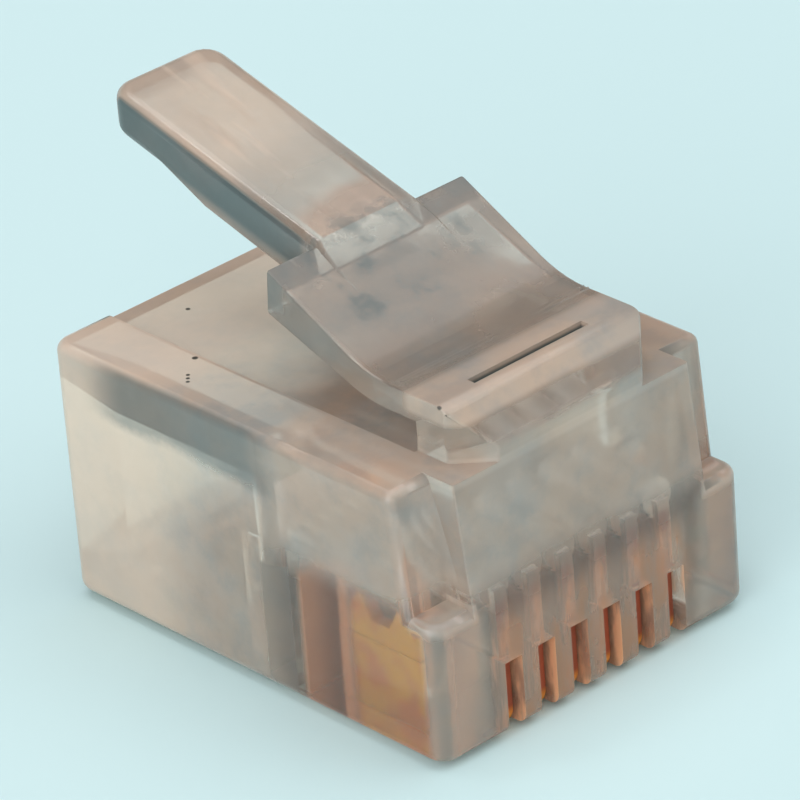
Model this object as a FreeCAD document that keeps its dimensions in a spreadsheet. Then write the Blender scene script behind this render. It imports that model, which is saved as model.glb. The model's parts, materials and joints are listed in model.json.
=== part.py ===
import FreeCAD, Part
import os
import Sketcher

# Six position modular plug: a clear moulded housing with its latch, and six contact blades.
# Millimetres. X runs across the plug, Y from the nose to the cable end, Z from the contact face to the latch.
# The origin is on the centre line, where the plane of the nose meets the plane of the contact face.

CONTACT_COUNT = 6
SAME_PLACE = 1e-4

SIZES = (
    ("body_width", 9.65, "across the two side faces"),
    ("body_height", 6.5, "contact face to the tops of the rails"),
    ("body_length", 12.4, "nose to cable end"),
    ("ledge_height", 3.5, "contact face to the tops of the nose's side blocks"),
    ("ledge_depth", 0.85, "side walls set back from the nose at the ledge"),
    ("wall_lean", 0.25, "further set-back of the side walls at the rails"),
    ("brow_inset", 1.2, "side face to the side of the brow above the contacts"),
    ("brow_lean", 0.35, "set-back of the brow at its top"),
    ("brow_rise", 0.4, "rails to the foot of the latch root's slope"),
    ("root_corner", 0.8, "cut across the front corners of the latch root"),
    ("slope_round", 0.3, "foot of the latch root's slope"),
    ("nose_round", 0.5, "upright corners of the nose"),
    ("cable_end_round", 0.5, "upright corners of the cable end"),
    ("contact_face_round", 0.3, "edges of the contact face"),
    ("rail_round", 0.25, "upper edges of the body"),
    ("latch_width", 6.02, "latch from its root to its shoulder"),
    ("latch_rise", 1.35, "rails to the flat top of the latch"),
    ("crest_setback", 1.2, "nose to the crest above the sloping front"),
    ("crest_round", 0.5, "crest of the sloping front"),
    ("gap_setback", 2.1, "nose to the closed end of the gap under the latch"),
    ("strip_thickness", 0.65, "latch at its hinge"),
    ("hinge_setback", 2.7, "nose to the line the latch bends about"),
    ("hinge_clearance", 0.03, "between the two halves of the hinge"),
    ("latch_travel", 20.0, "degrees the latch is pressed through"),
    ("lip_allowance", 4.0, "degrees kept free beyond the travel"),
    ("mark_setback", 1.6, "nose to the groove across the latch root"),
    ("mark_length", 3.5, "groove across the latch root"),
    ("mark_width", 0.24, "groove across the latch root"),
    ("mark_depth", 0.16, "groove across the latch root"),
    ("recess_depth", 0.2, "trough between the rails under the latch"),
    ("recess_clearance", 0.09, "each side of the latch in the trough"),
    ("bend_setback", 3.55, "nose to the upward bend of the latch"),
    ("bend_margin", 0.08, "flat of the latch left between its hinge and its bend"),
    ("shoulder_setback", 6.65, "nose to the locking shoulder"),
    ("shoulder_rise", 2.93, "rails to the top of the shoulder"),
    ("shoulder_thickness", 1.1, "latch at the shoulder"),
    ("shoulder_rake", 0.1, "foot of the shoulder behind its top"),
    ("tab_width", 3.16, "finger tab behind the shoulder"),
    ("tab_end", 13.45, "nose to the end of the finger tab"),
    ("tab_rise", 4.95, "rails to the top of the tab at its end"),
    ("tab_thickness", 1.16, "finger tab at its end"),
    ("tab_root_thickness", 1.3, "finger tab at the shoulder"),
    ("step_setback", 10.3, "nose to the step under the tab"),
    ("step_run", 0.6, "slope of the step under the tab"),
    ("spine_start", 5.2, "nose to where the tab rises out of the latch"),
    ("spine_rise", 0.12, "tab above the latch at the shoulder"),
    ("tab_corner_round", 0.6, "upright corners of the tab's end"),
    ("tab_edge_round", 0.3, "upper and lower edges of the tab"),
    ("contact_pitch", 1.016, "from one contact to the next"),
    ("contact_thickness", 0.33, "contact blade"),
    ("contact_clearance", 0.02, "each side of a blade in its slot"),
    ("contact_front", 0.3, "nose to the front edge of a blade"),
    ("contact_back", 4.05, "nose to the back edge of a blade"),
    ("contact_proud", 0.15, "blades stand out of the contact face before crimping"),
    ("contact_round", 0.55, "touching corner of a blade"),
    ("contact_upper_front", 0.6, "nose to the blade behind the front wall"),
    ("contact_shoulder", 2.25, "contact face to the foot of the piercing tines"),
    ("contact_tip", 2.95, "contact face to the points of the tines"),
    ("contact_front_tip", 3.2, "contact face to the point of the upright front tine"),
    ("tine_base", 0.8, "foot of one tine"),
    ("tine_gap", 0.5, "between two tines"),
    ("slot_front_height", 1.8, "front opening of a contact slot"),
    ("comb_gap", 0.52, "contact slot where it opens on the contact face"),
    ("channel_bore", 0.9, "conductor channel"),
    ("channel_height", 3.45, "contact face to the middle of the channels"),
    ("channel_front", 0.95, "nose to the blind end of the channels"),
    ("side_wall", 1.2, "cable cavity to the side faces"),
    ("cavity_floor", 1.3, "contact face to the floor of the cable cavity"),
    ("cavity_roof", 5.0, "contact face to the roof of the cable cavity"),
    ("cavity_end", 7.0, "nose to the front end of the cable cavity"),
    ("cavity_round", 0.7, "front corners of the cable cavity and its guide"),
    ("guide_end", 5.5, "nose to the front end of the guide from the cavity to the channels"),
    ("guide_floor", 2.8, "contact face to the floor of the guide"),
    ("mouth_depth", 1.6, "length of the flared cable mouth"),
    ("mouth_flare", 0.45, "widening of the cable mouth on each side"),
    ("cross_wall", 0.9, "conductor anchor slits to the side faces"),
    ("cross_setback", 4.7, "nose to the first conductor anchor slit"),
    ("front_slit", 0.4, "first conductor anchor slit"),
    ("anchor_bar", 0.95, "conductor anchor between its slits"),
    ("rear_slit", 0.55, "second conductor anchor slit"),
    ("cross_height", 3.5, "contact face to the tops of the slits"),
    ("flap_setback", 1.9, "cable end to the web of the jacket anchor"),
    ("flap_length", 2.3, "jacket anchor along the plug"),
    ("flap_width", 5.0, "jacket anchor across the plug"),
    ("flap_slit", 0.3, "slit round the jacket anchor"),
    ("flap_web", 0.4, "web the jacket anchor bends about"),
    ("flap_groove", 0.45, "groove under the web"),
    ("cut_allowance", 0.5, "cutters run past the faces they open"),
)

# Places that several pieces share, written as formulas on the sheet.
LATCH_TOP = "(Sizes.body_height + Sizes.latch_rise)"
STRIP_BOTTOM = f"({LATCH_TOP} - Sizes.strip_thickness)"
HINGE_HEIGHT = f"({LATCH_TOP} - Sizes.strip_thickness / 2)"
SHOULDER_TOP = "(Sizes.body_height + Sizes.shoulder_rise)"
TAB_TOP = "(Sizes.body_height + Sizes.tab_rise)"
RECESS_FLOOR = "(Sizes.body_height - Sizes.recess_depth)"
RECESS_WIDTH = "(Sizes.latch_width + 2 * Sizes.recess_clearance)"
FIRST_CONTACT = f"(-Sizes.contact_pitch * {CONTACT_COUNT - 1} / 2)"
SLOT_BACK = "(Sizes.contact_back + Sizes.contact_clearance)"
SLOT_WIDTH = "(Sizes.contact_thickness + 2 * Sizes.contact_clearance)"
CAVITY_WIDTH = "(Sizes.body_width - 2 * Sizes.side_wall)"

document = FreeCAD.newDocument("ModularPlug")
sizes = document.addObject("Spreadsheet::Sheet", "Sizes")
for row, (alias, value, meaning) in enumerate(SIZES, start=1):
    sizes.set(f"A{row}", str(value))
    sizes.setAlias(f"A{row}", alias)
    sizes.set(f"B{row}", meaning)
document.recompute()


def new_body(label):
    """An empty body whose label is the name of its node."""
    body = document.addObject("PartDesign::Body", label)
    body.Label = label
    return body


def sketch_on(body, role, name, offset="0"):
    """A sketch on one of the body's origin planes, moved along the plane's normal."""
    sketch = body.newObject("Sketcher::SketchObject", name)
    plane = next(item for item in body.Origin.OriginFeatures if item.Role == role)
    sketch.AttachmentSupport = [(plane, "")]
    sketch.MapMode = "FlatFace"
    sketch.setExpression("AttachmentOffset.Base.z", offset)
    return sketch


def outline(sketch, corners):
    """A closed run of straight edges, every corner held by two formulas."""
    values = [[float(sketch.evalExpression(rule)) for rule in corner] for corner in corners]
    spots = [FreeCAD.Vector(*pair, 0) for pair in values]
    first = sketch.GeometryCount
    for here, after in zip(spots, spots[1:] + spots[:1]):
        sketch.addGeometry(Part.LineSegment(here, after))
    for index, corner in enumerate(corners):
        before = first + (index - 1) % len(corners)
        edge = first + index
        sketch.addConstraint(Sketcher.Constraint("Coincident", before, 2, edge, 1))
        for kind, rule, place in zip(("DistanceX", "DistanceY"), corner, spots[index]):
            held = sketch.addConstraint(Sketcher.Constraint(kind, -1, 1, edge, 1, place))
            sketch.setExpression(f"Constraints[{held}]", rule)
    return sketch


def rectangle(sketch, left, right, low, high):
    """A rectangle between two formulas each way."""
    return outline(sketch, ((left, low), (right, low), (right, high), (left, high)))


def centred(sketch, width, low, high):
    """A rectangle with its middle on the centre line."""
    return rectangle(sketch, f"-{width} / 2", f"{width} / 2", low, high)


def extrude(body, kind, sketch, name, length, both_ways=True, backwards=False):
    """A pad or a pocket of a sketch, to both sides of its plane or to one."""
    feature = body.newObject(f"PartDesign::{kind}", name)
    feature.Profile = sketch
    feature.SideType = "Symmetric" if both_ways else "One side"
    feature.Reversed = backwards
    feature.setExpression("Length", length)
    document.recompute()
    return feature


def round_edges(body, base, name, radius, picked):
    """A fillet on every edge of the base whose bounding box is picked."""
    numbered = enumerate(base.Shape.Edges, start=1)
    names = [f"Edge{number}" for number, edge in numbered if picked(edge.BoundBox)]
    if not names:
        raise RuntimeError(f"{name} finds no edge to round")
    fillet = body.newObject("PartDesign::Fillet", name)
    fillet.Base = (base, names)
    fillet.setExpression("Radius", radius)
    document.recompute()
    return fillet


def near(value, place):
    """Two places are the same."""
    return abs(value - place) < SAME_PLACE


def level(box, height):
    """The edge lies flat at a height."""
    return near(box.ZMin, height) and near(box.ZMax, height)


def upright(box, setback):
    """The edge stands upright at a distance from the nose."""
    stands = near(box.XLength, 0) and box.ZLength > SAME_PLACE
    return stands and near(box.YMin, setback) and near(box.YMax, setback)


def across(box, setback, height):
    """The edge runs straight across the plug at a place in its side view."""
    return near(box.YMin, setback) and near(box.YMax, setback) and level(box, height)


def hinge_cylinder(body, kind, name, radius, width):
    """A round across the plug on the line the latch bends about."""
    cylinder = body.newObject(f"PartDesign::{kind}Cylinder", name)
    plane = next(item for item in body.Origin.OriginFeatures if item.Role == "YZ_Plane")
    cylinder.AttachmentSupport = [(plane, "")]
    cylinder.MapMode = "FlatFace"
    cylinder.setExpression("AttachmentOffset.Base.x", "Sizes.hinge_setback")
    cylinder.setExpression("AttachmentOffset.Base.y", HINGE_HEIGHT)
    cylinder.setExpression("AttachmentOffset.Base.z", f"-{width} / 2")
    cylinder.setExpression("Radius", radius)
    cylinder.setExpression("Height", width)
    document.recompute()
    return cylinder


def moulded_block(body):
    """The outer block of the housing: side blocks at the nose, set-back walls above them, rounded edges."""
    side = outline(sketch_on(body, "YZ_Plane", "BlockSide"), (
        ("0", "0"),
        ("Sizes.body_length", "0"),
        ("Sizes.body_length", "Sizes.body_height"),
        ("Sizes.ledge_depth + Sizes.wall_lean", "Sizes.body_height"),
        ("Sizes.ledge_depth", "Sizes.ledge_height"),
        ("0", "Sizes.ledge_height"),
    ))
    block = extrude(body, "Pad", side, "Block", "Sizes.body_width")
    nose = round_edges(body, block, "NoseCorners", "Sizes.nose_round", lambda box: upright(box, 0))
    cable_end = round_edges(body, nose, "CableEndCorners", "Sizes.cable_end_round",
                            lambda box: upright(box, sizes.body_length))
    contact_face = round_edges(body, cable_end, "ContactFaceEdges", "Sizes.contact_face_round",
                               lambda box: level(box, 0))
    half_width = sizes.body_width / 2

    def ledge_edge(box):
        """An outer edge of a ledge, in front of the wall's foot."""
        return level(box, sizes.ledge_height) and box.YMin < sizes.ledge_depth - SAME_PLACE

    def wall_edge(box):
        """The leaning front edge of a side wall."""
        return box.ZMin > sizes.ledge_height - SAME_PLACE and box.XLength < SAME_PLACE \
            and near(abs(box.XMin), half_width) and box.YMax < sizes.body_length / 2

    ledge = round_edges(body, contact_face, "LedgeEdges", "Sizes.rail_round", ledge_edge)
    walls = round_edges(body, ledge, "WallEdges", "Sizes.rail_round", wall_edge)
    return round_edges(body, walls, "RailEdges", "Sizes.rail_round",
                       lambda box: level(box, sizes.body_height))


def brow_and_latch_root(body):
    """The middle of the nose above the contacts, and the root that the latch springs from."""
    brow = outline(sketch_on(body, "YZ_Plane", "BrowSide"), (
        ("0", "Sizes.contact_face_round"),
        ("Sizes.gap_setback", "Sizes.contact_face_round"),
        ("Sizes.gap_setback", "Sizes.body_height"),
        ("Sizes.brow_lean", "Sizes.body_height"),
        ("0", "Sizes.ledge_height"),
    ))
    extrude(body, "Pad", brow, "Brow", "Sizes.body_width - 2 * Sizes.brow_inset")
    root = outline(sketch_on(body, "YZ_Plane", "RootSide"), (
        ("Sizes.brow_lean", "Sizes.body_height"),
        ("Sizes.gap_setback", "Sizes.body_height"),
        ("Sizes.gap_setback", STRIP_BOTTOM),
        ("Sizes.hinge_setback", STRIP_BOTTOM),
        ("Sizes.hinge_setback", LATCH_TOP),
        ("Sizes.crest_setback", LATCH_TOP),
        ("Sizes.brow_lean", "Sizes.body_height + Sizes.brow_rise"),
    ))
    pad = extrude(body, "Pad", root, "LatchRoot", "Sizes.latch_width")
    latch_top = sizes.body_height + sizes.latch_rise
    slope_foot = sizes.body_height + sizes.brow_rise
    crest = round_edges(body, pad, "Crest", "Sizes.crest_round",
                        lambda box: across(box, sizes.crest_setback, latch_top))
    round_edges(body, crest, "SlopeFoot", "Sizes.slope_round",
                lambda box: across(box, sizes.brow_lean, slope_foot))
    for name, side in (("LeftRootCorner", "-1"), ("RightRootCorner", "1")):
        flank = f"{side} * Sizes.latch_width / 2"
        clear = f"{flank} + {side} * Sizes.cut_allowance"
        inboard = f"{flank} - {side} * Sizes.root_corner"
        corner = outline(sketch_on(body, "XY_Plane", f"{name}Plan", "Sizes.body_height"), (
            (inboard, "Sizes.brow_lean"),
            (flank, "Sizes.brow_lean + Sizes.root_corner"),
            (clear, "Sizes.brow_lean + Sizes.root_corner"),
            (clear, "Sizes.brow_lean - Sizes.cut_allowance"),
            (inboard, "Sizes.brow_lean - Sizes.cut_allowance"),
        ))
        extrude(body, "Pocket", corner, name, "Sizes.latch_rise + Sizes.cut_allowance",
                both_ways=False, backwards=True)
    hinge_cylinder(body, "Additive", "Knuckle", "Sizes.strip_thickness / 2", "Sizes.latch_width")
    groove_front = "Sizes.mark_setback - Sizes.mark_width / 2"
    groove_back = "Sizes.mark_setback + Sizes.mark_width / 2"
    groove = rectangle(sketch_on(body, "YZ_Plane", "RootGrooveSide"), groove_front, groove_back,
                       f"{LATCH_TOP} - Sizes.mark_depth", f"{LATCH_TOP} + Sizes.cut_allowance")
    extrude(body, "Pocket", groove, "RootGroove", "Sizes.mark_length")
    trough = rectangle(sketch_on(body, "YZ_Plane", "TroughSide"), "Sizes.gap_setback",
                       "Sizes.body_length + Sizes.cut_allowance", RECESS_FLOOR, "Sizes.body_height")
    return extrude(body, "Pocket", trough, "Trough", RECESS_WIDTH)


def cable_cavity(body):
    """The room for the cable's jacket with a guide to the channels, rounded corners and a flared mouth."""
    room = outline(sketch_on(body, "YZ_Plane", "CavitySide"), (
        ("Sizes.cavity_end", "Sizes.cavity_floor"),
        ("Sizes.body_length + Sizes.cut_allowance", "Sizes.cavity_floor"),
        ("Sizes.body_length + Sizes.cut_allowance", "Sizes.cavity_roof"),
        ("Sizes.guide_end", "Sizes.cavity_roof"),
        ("Sizes.guide_end", "Sizes.guide_floor"),
        ("Sizes.cavity_end", "Sizes.guide_floor"),
    ))
    cavity = extrude(body, "Pocket", room, "Cavity", CAVITY_WIDTH)
    half_width = sizes.body_width / 2 - sizes.side_wall

    def front_corner(box):
        """An upright corner at the front end of the cavity or of its guide."""
        stands = upright(box, sizes.cavity_end) or upright(box, sizes.guide_end)
        return stands and near(abs(box.XMin), half_width)

    round_edges(body, cavity, "CavityCorners", "Sizes.cavity_round", front_corner)
    throat_plane = sketch_on(body, "XZ_Plane", "MouthThroat", "Sizes.mouth_depth - Sizes.body_length")
    throat = centred(throat_plane, CAVITY_WIDTH, "Sizes.cavity_floor", "Sizes.cavity_roof")
    lip = centred(sketch_on(body, "XZ_Plane", "MouthLip", "-Sizes.body_length"),
                  f"({CAVITY_WIDTH} + 2 * Sizes.mouth_flare)", "Sizes.cavity_floor - Sizes.mouth_flare",
                  "Sizes.cavity_roof + Sizes.mouth_flare")
    mouth = body.newObject("PartDesign::SubtractiveLoft", "Mouth")
    mouth.Profile = throat
    mouth.Sections = [lip]
    mouth.Ruled = True
    document.recompute()
    return mouth


def contact_places(body):
    """One slot, its wider opening and its conductor channel, repeated across the plug."""
    slot = outline(sketch_on(body, "YZ_Plane", "SlotSide", FIRST_CONTACT), (
        ("-Sizes.cut_allowance", "-Sizes.cut_allowance"),
        (SLOT_BACK, "-Sizes.cut_allowance"),
        (SLOT_BACK, "Sizes.channel_height"),
        ("Sizes.contact_upper_front - Sizes.contact_clearance", "Sizes.channel_height"),
        ("Sizes.contact_upper_front - Sizes.contact_clearance", "Sizes.slot_front_height"),
        ("-Sizes.cut_allowance", "Sizes.slot_front_height"),
    ))
    narrow = extrude(body, "Pocket", slot, "ContactSlot", SLOT_WIDTH)
    comb = rectangle(sketch_on(body, "YZ_Plane", "CombSide", FIRST_CONTACT),
                     "-Sizes.cut_allowance", SLOT_BACK, "-Sizes.cut_allowance", "Sizes.slot_front_height")
    wide = extrude(body, "Pocket", comb, "CombGap", "Sizes.comb_gap")
    ring = sketch_on(body, "XZ_Plane", "ChannelEnd", "-Sizes.guide_end")
    middle = FreeCAD.Vector(float(ring.evalExpression(FIRST_CONTACT)), sizes.channel_height, 0)
    circle = ring.addGeometry(Part.Circle(middle, FreeCAD.Vector(0, 0, 1), sizes.channel_bore / 2))
    rules = (("DistanceX", FIRST_CONTACT, middle.x), ("DistanceY", "Sizes.channel_height", middle.y))
    for kind, rule, place in rules:
        held = ring.addConstraint(Sketcher.Constraint(kind, -1, 1, circle, 3, place))
        ring.setExpression(f"Constraints[{held}]", rule)
    held = ring.addConstraint(Sketcher.Constraint("Diameter", circle, sizes.channel_bore))
    ring.setExpression(f"Constraints[{held}]", "Sizes.channel_bore")
    channel = extrude(body, "Pocket", ring, "Channel", "Sizes.guide_end - Sizes.channel_front",
                      both_ways=False, backwards=True)
    row = body.newObject("PartDesign::LinearPattern", "ContactPlaces")
    row.Originals = [narrow, wide, channel]
    row.Direction = (next(item for item in body.Origin.OriginFeatures if item.Role == "X_Axis"), [""])
    row.Occurrences = CONTACT_COUNT
    row.setExpression("Length", f"Sizes.contact_pitch * {CONTACT_COUNT - 1}")
    body.Tip = row
    document.recompute()
    return row


def anchors(body):
    """The conductor anchor between two slits, and the jacket anchor in a slit on three sides with a web."""
    bar_front = "Sizes.cross_setback + Sizes.front_slit"
    bar_back = f"{bar_front} + Sizes.anchor_bar"
    slits = (
        ("FrontSlit", "Sizes.cross_setback", bar_front),
        ("RearSlit", bar_back, f"{bar_back} + Sizes.rear_slit"),
    )
    for name, front, back in slits:
        side = rectangle(sketch_on(body, "YZ_Plane", f"{name}Side"), front, back,
                         "-Sizes.cut_allowance", "Sizes.cross_height")
        extrude(body, "Pocket", side, name, "Sizes.body_width - 2 * Sizes.cross_wall")
    back = "Sizes.body_length - Sizes.flap_setback"
    front = f"{back} - Sizes.flap_length"
    inner = "Sizes.flap_width / 2"
    outer = f"{inner} + Sizes.flap_slit"
    plan = outline(sketch_on(body, "XY_Plane", "JacketSlitPlan", "-Sizes.cut_allowance"), (
        (f"-({outer})", back),
        (f"-({outer})", f"{front} - Sizes.flap_slit"),
        (outer, f"{front} - Sizes.flap_slit"),
        (outer, back),
        (inner, back),
        (inner, front),
        (f"-{inner}", front),
        (f"-{inner}", back),
    ))
    extrude(body, "Pocket", plan, "JacketSlit", "Sizes.cavity_floor + 2 * Sizes.cut_allowance",
            both_ways=False, backwards=True)
    web = rectangle(sketch_on(body, "YZ_Plane", "WebSide"), f"{back} - Sizes.flap_groove", back,
                    "-Sizes.cut_allowance", "Sizes.cavity_floor - Sizes.flap_web")
    return extrude(body, "Pocket", web, "WebGroove", "Sizes.flap_width + 2 * Sizes.flap_slit")


def housing():
    """The clear moulding, up to the line its latch bends about."""
    body = new_body("housing")
    moulded_block(body)
    brow_and_latch_root(body)
    cable_cavity(body)
    contact_places(body)
    anchors(body)
    return body


def latch():
    """The moving half of the latch: a strip that bends up to the locking shoulder, and the finger tab."""
    body = new_body("latch")
    shoulder = f"({SHOULDER_TOP} + Sizes.spine_rise)"
    slope = f"(({TAB_TOP} - {shoulder}) / (Sizes.tab_end - Sizes.shoulder_setback))"
    step_back = "(Sizes.step_setback + Sizes.step_run)"
    strip_slope = f"(({SHOULDER_TOP} - {LATCH_TOP}) / (Sizes.shoulder_setback - Sizes.bend_setback))"
    spine_run = "(Sizes.shoulder_setback - Sizes.spine_start)"
    tab = outline(sketch_on(body, "YZ_Plane", "TabSide"), (
        ("Sizes.spine_start", f"{SHOULDER_TOP} - {strip_slope} * {spine_run}"),
        ("Sizes.shoulder_setback", f"{SHOULDER_TOP} - Sizes.shoulder_thickness"),
        ("Sizes.shoulder_setback + Sizes.shoulder_rake", f"{shoulder} - Sizes.tab_root_thickness"),
        ("Sizes.step_setback", f"{shoulder} + {slope} * (Sizes.step_setback - Sizes.shoulder_setback)"
                               " - Sizes.tab_root_thickness"),
        (step_back, f"{shoulder} + {slope} * ({step_back} - Sizes.shoulder_setback) - Sizes.tab_thickness"),
        ("Sizes.tab_end", f"{TAB_TOP} - Sizes.tab_thickness"),
        ("Sizes.tab_end", TAB_TOP),
        ("Sizes.shoulder_setback", shoulder),
    ))
    pad = extrude(body, "Pad", tab, "Tab", "Sizes.tab_width")
    corners = round_edges(body, pad, "TabCorners", "Sizes.tab_corner_round",
                          lambda box: upright(box, sizes.tab_end))
    tab_top = sizes.body_height + sizes.tab_rise
    round_edges(body, corners, "TabEdges", "Sizes.tab_edge_round",
                lambda box: across(box, sizes.tab_end, tab_top)
                or across(box, sizes.tab_end, tab_top - sizes.tab_thickness))
    lip = "Sizes.strip_thickness / 2 * tan((Sizes.latch_travel + Sizes.lip_allowance) * 1deg)"
    strip = outline(sketch_on(body, "YZ_Plane", "StripSide"), (
        ("Sizes.hinge_setback", HINGE_HEIGHT),
        (f"Sizes.hinge_setback + {lip}", STRIP_BOTTOM),
        ("Sizes.bend_setback", STRIP_BOTTOM),
        ("Sizes.shoulder_setback + Sizes.shoulder_rake", f"{SHOULDER_TOP} - Sizes.shoulder_thickness"),
        ("Sizes.shoulder_setback", SHOULDER_TOP),
        ("Sizes.bend_setback", LATCH_TOP),
        ("Sizes.hinge_setback", LATCH_TOP),
    ))
    pad = extrude(body, "Pad", strip, "Strip", "Sizes.latch_width")
    latch_top = sizes.body_height + sizes.latch_rise
    strip_bottom = latch_top - sizes.strip_thickness
    bend_reach = "(Sizes.bend_setback - Sizes.hinge_setback - Sizes.bend_margin)"
    round_edges(body, pad, "Bend", f"{bend_reach} / tan(atan({strip_slope}) / 2)",
                lambda box: across(box, sizes.bend_setback, latch_top)
                or across(box, sizes.bend_setback, strip_bottom))
    hinge_cylinder(body, "Subtractive", "Socket", "Sizes.strip_thickness / 2 + Sizes.hinge_clearance",
                   "(Sizes.latch_width + 2 * Sizes.cut_allowance)")
    return body


def contact(number):
    """One stamped contact blade with two piercing tines and an upright front tine, in its own slot."""
    body = new_body(f"contact_{number}")
    step_height = "Sizes.slot_front_height - Sizes.contact_clearance"
    first_tine = "Sizes.contact_back - Sizes.tine_gap / 2"
    tines = []
    for tine in range(2):
        foot = f"{first_tine} - {tine} * (Sizes.tine_base + Sizes.tine_gap)"
        tines += [
            (foot, "Sizes.contact_shoulder"),
            (f"{foot} - Sizes.tine_base / 2", "Sizes.contact_tip"),
            (f"{foot} - Sizes.tine_base", "Sizes.contact_shoulder"),
        ]
    blade = outline(sketch_on(body, "YZ_Plane", f"BladeSide{number}"), (
        ("Sizes.contact_front", "-Sizes.contact_proud"),
        ("Sizes.contact_back", "-Sizes.contact_proud"),
        ("Sizes.contact_back", "Sizes.contact_shoulder"),
        *tines,
        ("Sizes.contact_upper_front", "Sizes.contact_front_tip"),
        ("Sizes.contact_upper_front", step_height),
        ("Sizes.contact_front", step_height),
    ))
    pad = extrude(body, "Pad", blade, f"Blade{number}", "Sizes.contact_thickness")
    round_edges(body, pad, f"TouchingCorner{number}", "Sizes.contact_round",
                lambda box: across(box, sizes.contact_front, -sizes.contact_proud))
    body.setExpression("Placement.Base.x", f"{FIRST_CONTACT} + {number - 1} * Sizes.contact_pitch")
    return body


pieces = [housing(), latch()]
pieces += [contact(number) for number in range(1, CONTACT_COUNT + 1)]
document.recompute()

for item in document.Objects:
    if "Invalid" in item.State or "Error" in item.State:
        raise RuntimeError(f"{item.Label} did not rebuild")
for piece in pieces:
    if piece.Shape.isNull() or not piece.Shape.isValid() or len(piece.Shape.Solids) != 1:
        raise RuntimeError(f"{piece.Label} is not one sound solid")

os.makedirs("parts", exist_ok=True)
for piece in pieces:
    piece.Shape.exportStep(f"parts/{piece.Label}.step")
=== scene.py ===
"""Looks of a six position modular plug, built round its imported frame."""

import json
import math
from functools import reduce
from operator import add, mul

import bmesh
import bpy
from bpy.props import FloatProperty, FloatVectorProperty, IntProperty, PointerProperty
from mathutils import Matrix, Vector


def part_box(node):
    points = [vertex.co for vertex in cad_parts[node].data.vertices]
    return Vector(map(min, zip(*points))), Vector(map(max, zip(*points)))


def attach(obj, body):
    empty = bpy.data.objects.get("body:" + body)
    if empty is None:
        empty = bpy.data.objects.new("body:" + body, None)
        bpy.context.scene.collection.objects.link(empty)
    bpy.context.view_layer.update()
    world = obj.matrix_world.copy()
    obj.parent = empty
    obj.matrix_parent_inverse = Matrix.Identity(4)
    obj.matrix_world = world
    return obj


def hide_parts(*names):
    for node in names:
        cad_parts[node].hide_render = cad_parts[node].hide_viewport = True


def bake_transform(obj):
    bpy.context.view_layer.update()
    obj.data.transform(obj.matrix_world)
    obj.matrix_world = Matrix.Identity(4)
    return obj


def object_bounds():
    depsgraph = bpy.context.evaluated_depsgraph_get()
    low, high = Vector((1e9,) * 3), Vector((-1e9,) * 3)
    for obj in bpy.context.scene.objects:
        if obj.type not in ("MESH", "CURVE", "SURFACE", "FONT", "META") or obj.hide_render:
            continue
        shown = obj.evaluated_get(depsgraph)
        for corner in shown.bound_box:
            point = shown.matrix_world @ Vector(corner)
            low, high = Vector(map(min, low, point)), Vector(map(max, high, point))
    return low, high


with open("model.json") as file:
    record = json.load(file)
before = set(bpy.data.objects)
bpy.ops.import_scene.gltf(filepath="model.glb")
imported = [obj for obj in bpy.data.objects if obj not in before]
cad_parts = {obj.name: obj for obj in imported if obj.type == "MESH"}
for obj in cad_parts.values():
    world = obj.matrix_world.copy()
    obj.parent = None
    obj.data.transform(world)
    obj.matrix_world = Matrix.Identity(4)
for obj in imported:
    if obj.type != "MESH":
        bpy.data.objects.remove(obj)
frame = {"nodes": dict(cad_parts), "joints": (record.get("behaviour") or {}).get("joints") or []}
CAD_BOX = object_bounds()

bl_info = {
    "name": "Modular plug",
    "version": (1, 0, 0),
    "blender": (4, 5, 0),
    "location": "View3D > Sidebar > Plug",
    "description": "Dresses a clear six position modular plug: its moulding, its contact blades and its stage",
    "category": "Object",
}

MM = 0.001
IMAGE_SIDE = 800
SENSOR = 36.0
CONTACTS = sorted(name for name in frame["nodes"] if name.startswith("contact_"))
HINGE = Vector(frame["joints"][0]["pos_m"])
STRIP = 2 * (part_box("housing")[1].z - HINGE.z)
SHARP = math.radians(28)
FLAT = math.radians(0.5)
# Millimetres: a step too small to keep, the widest gap welded along a cut, and how near a point is on a cut.
SLIVER = 0.004
RIM_GAP = 0.0005
ON_THE_CUT = 0.0001
# The moulding's attributes: which faces a finger can reach, and each point's place before the latch bends.
SKIN = "skin"
PLACE = "place"
PLASTIC_IOR = 1.58
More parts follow.
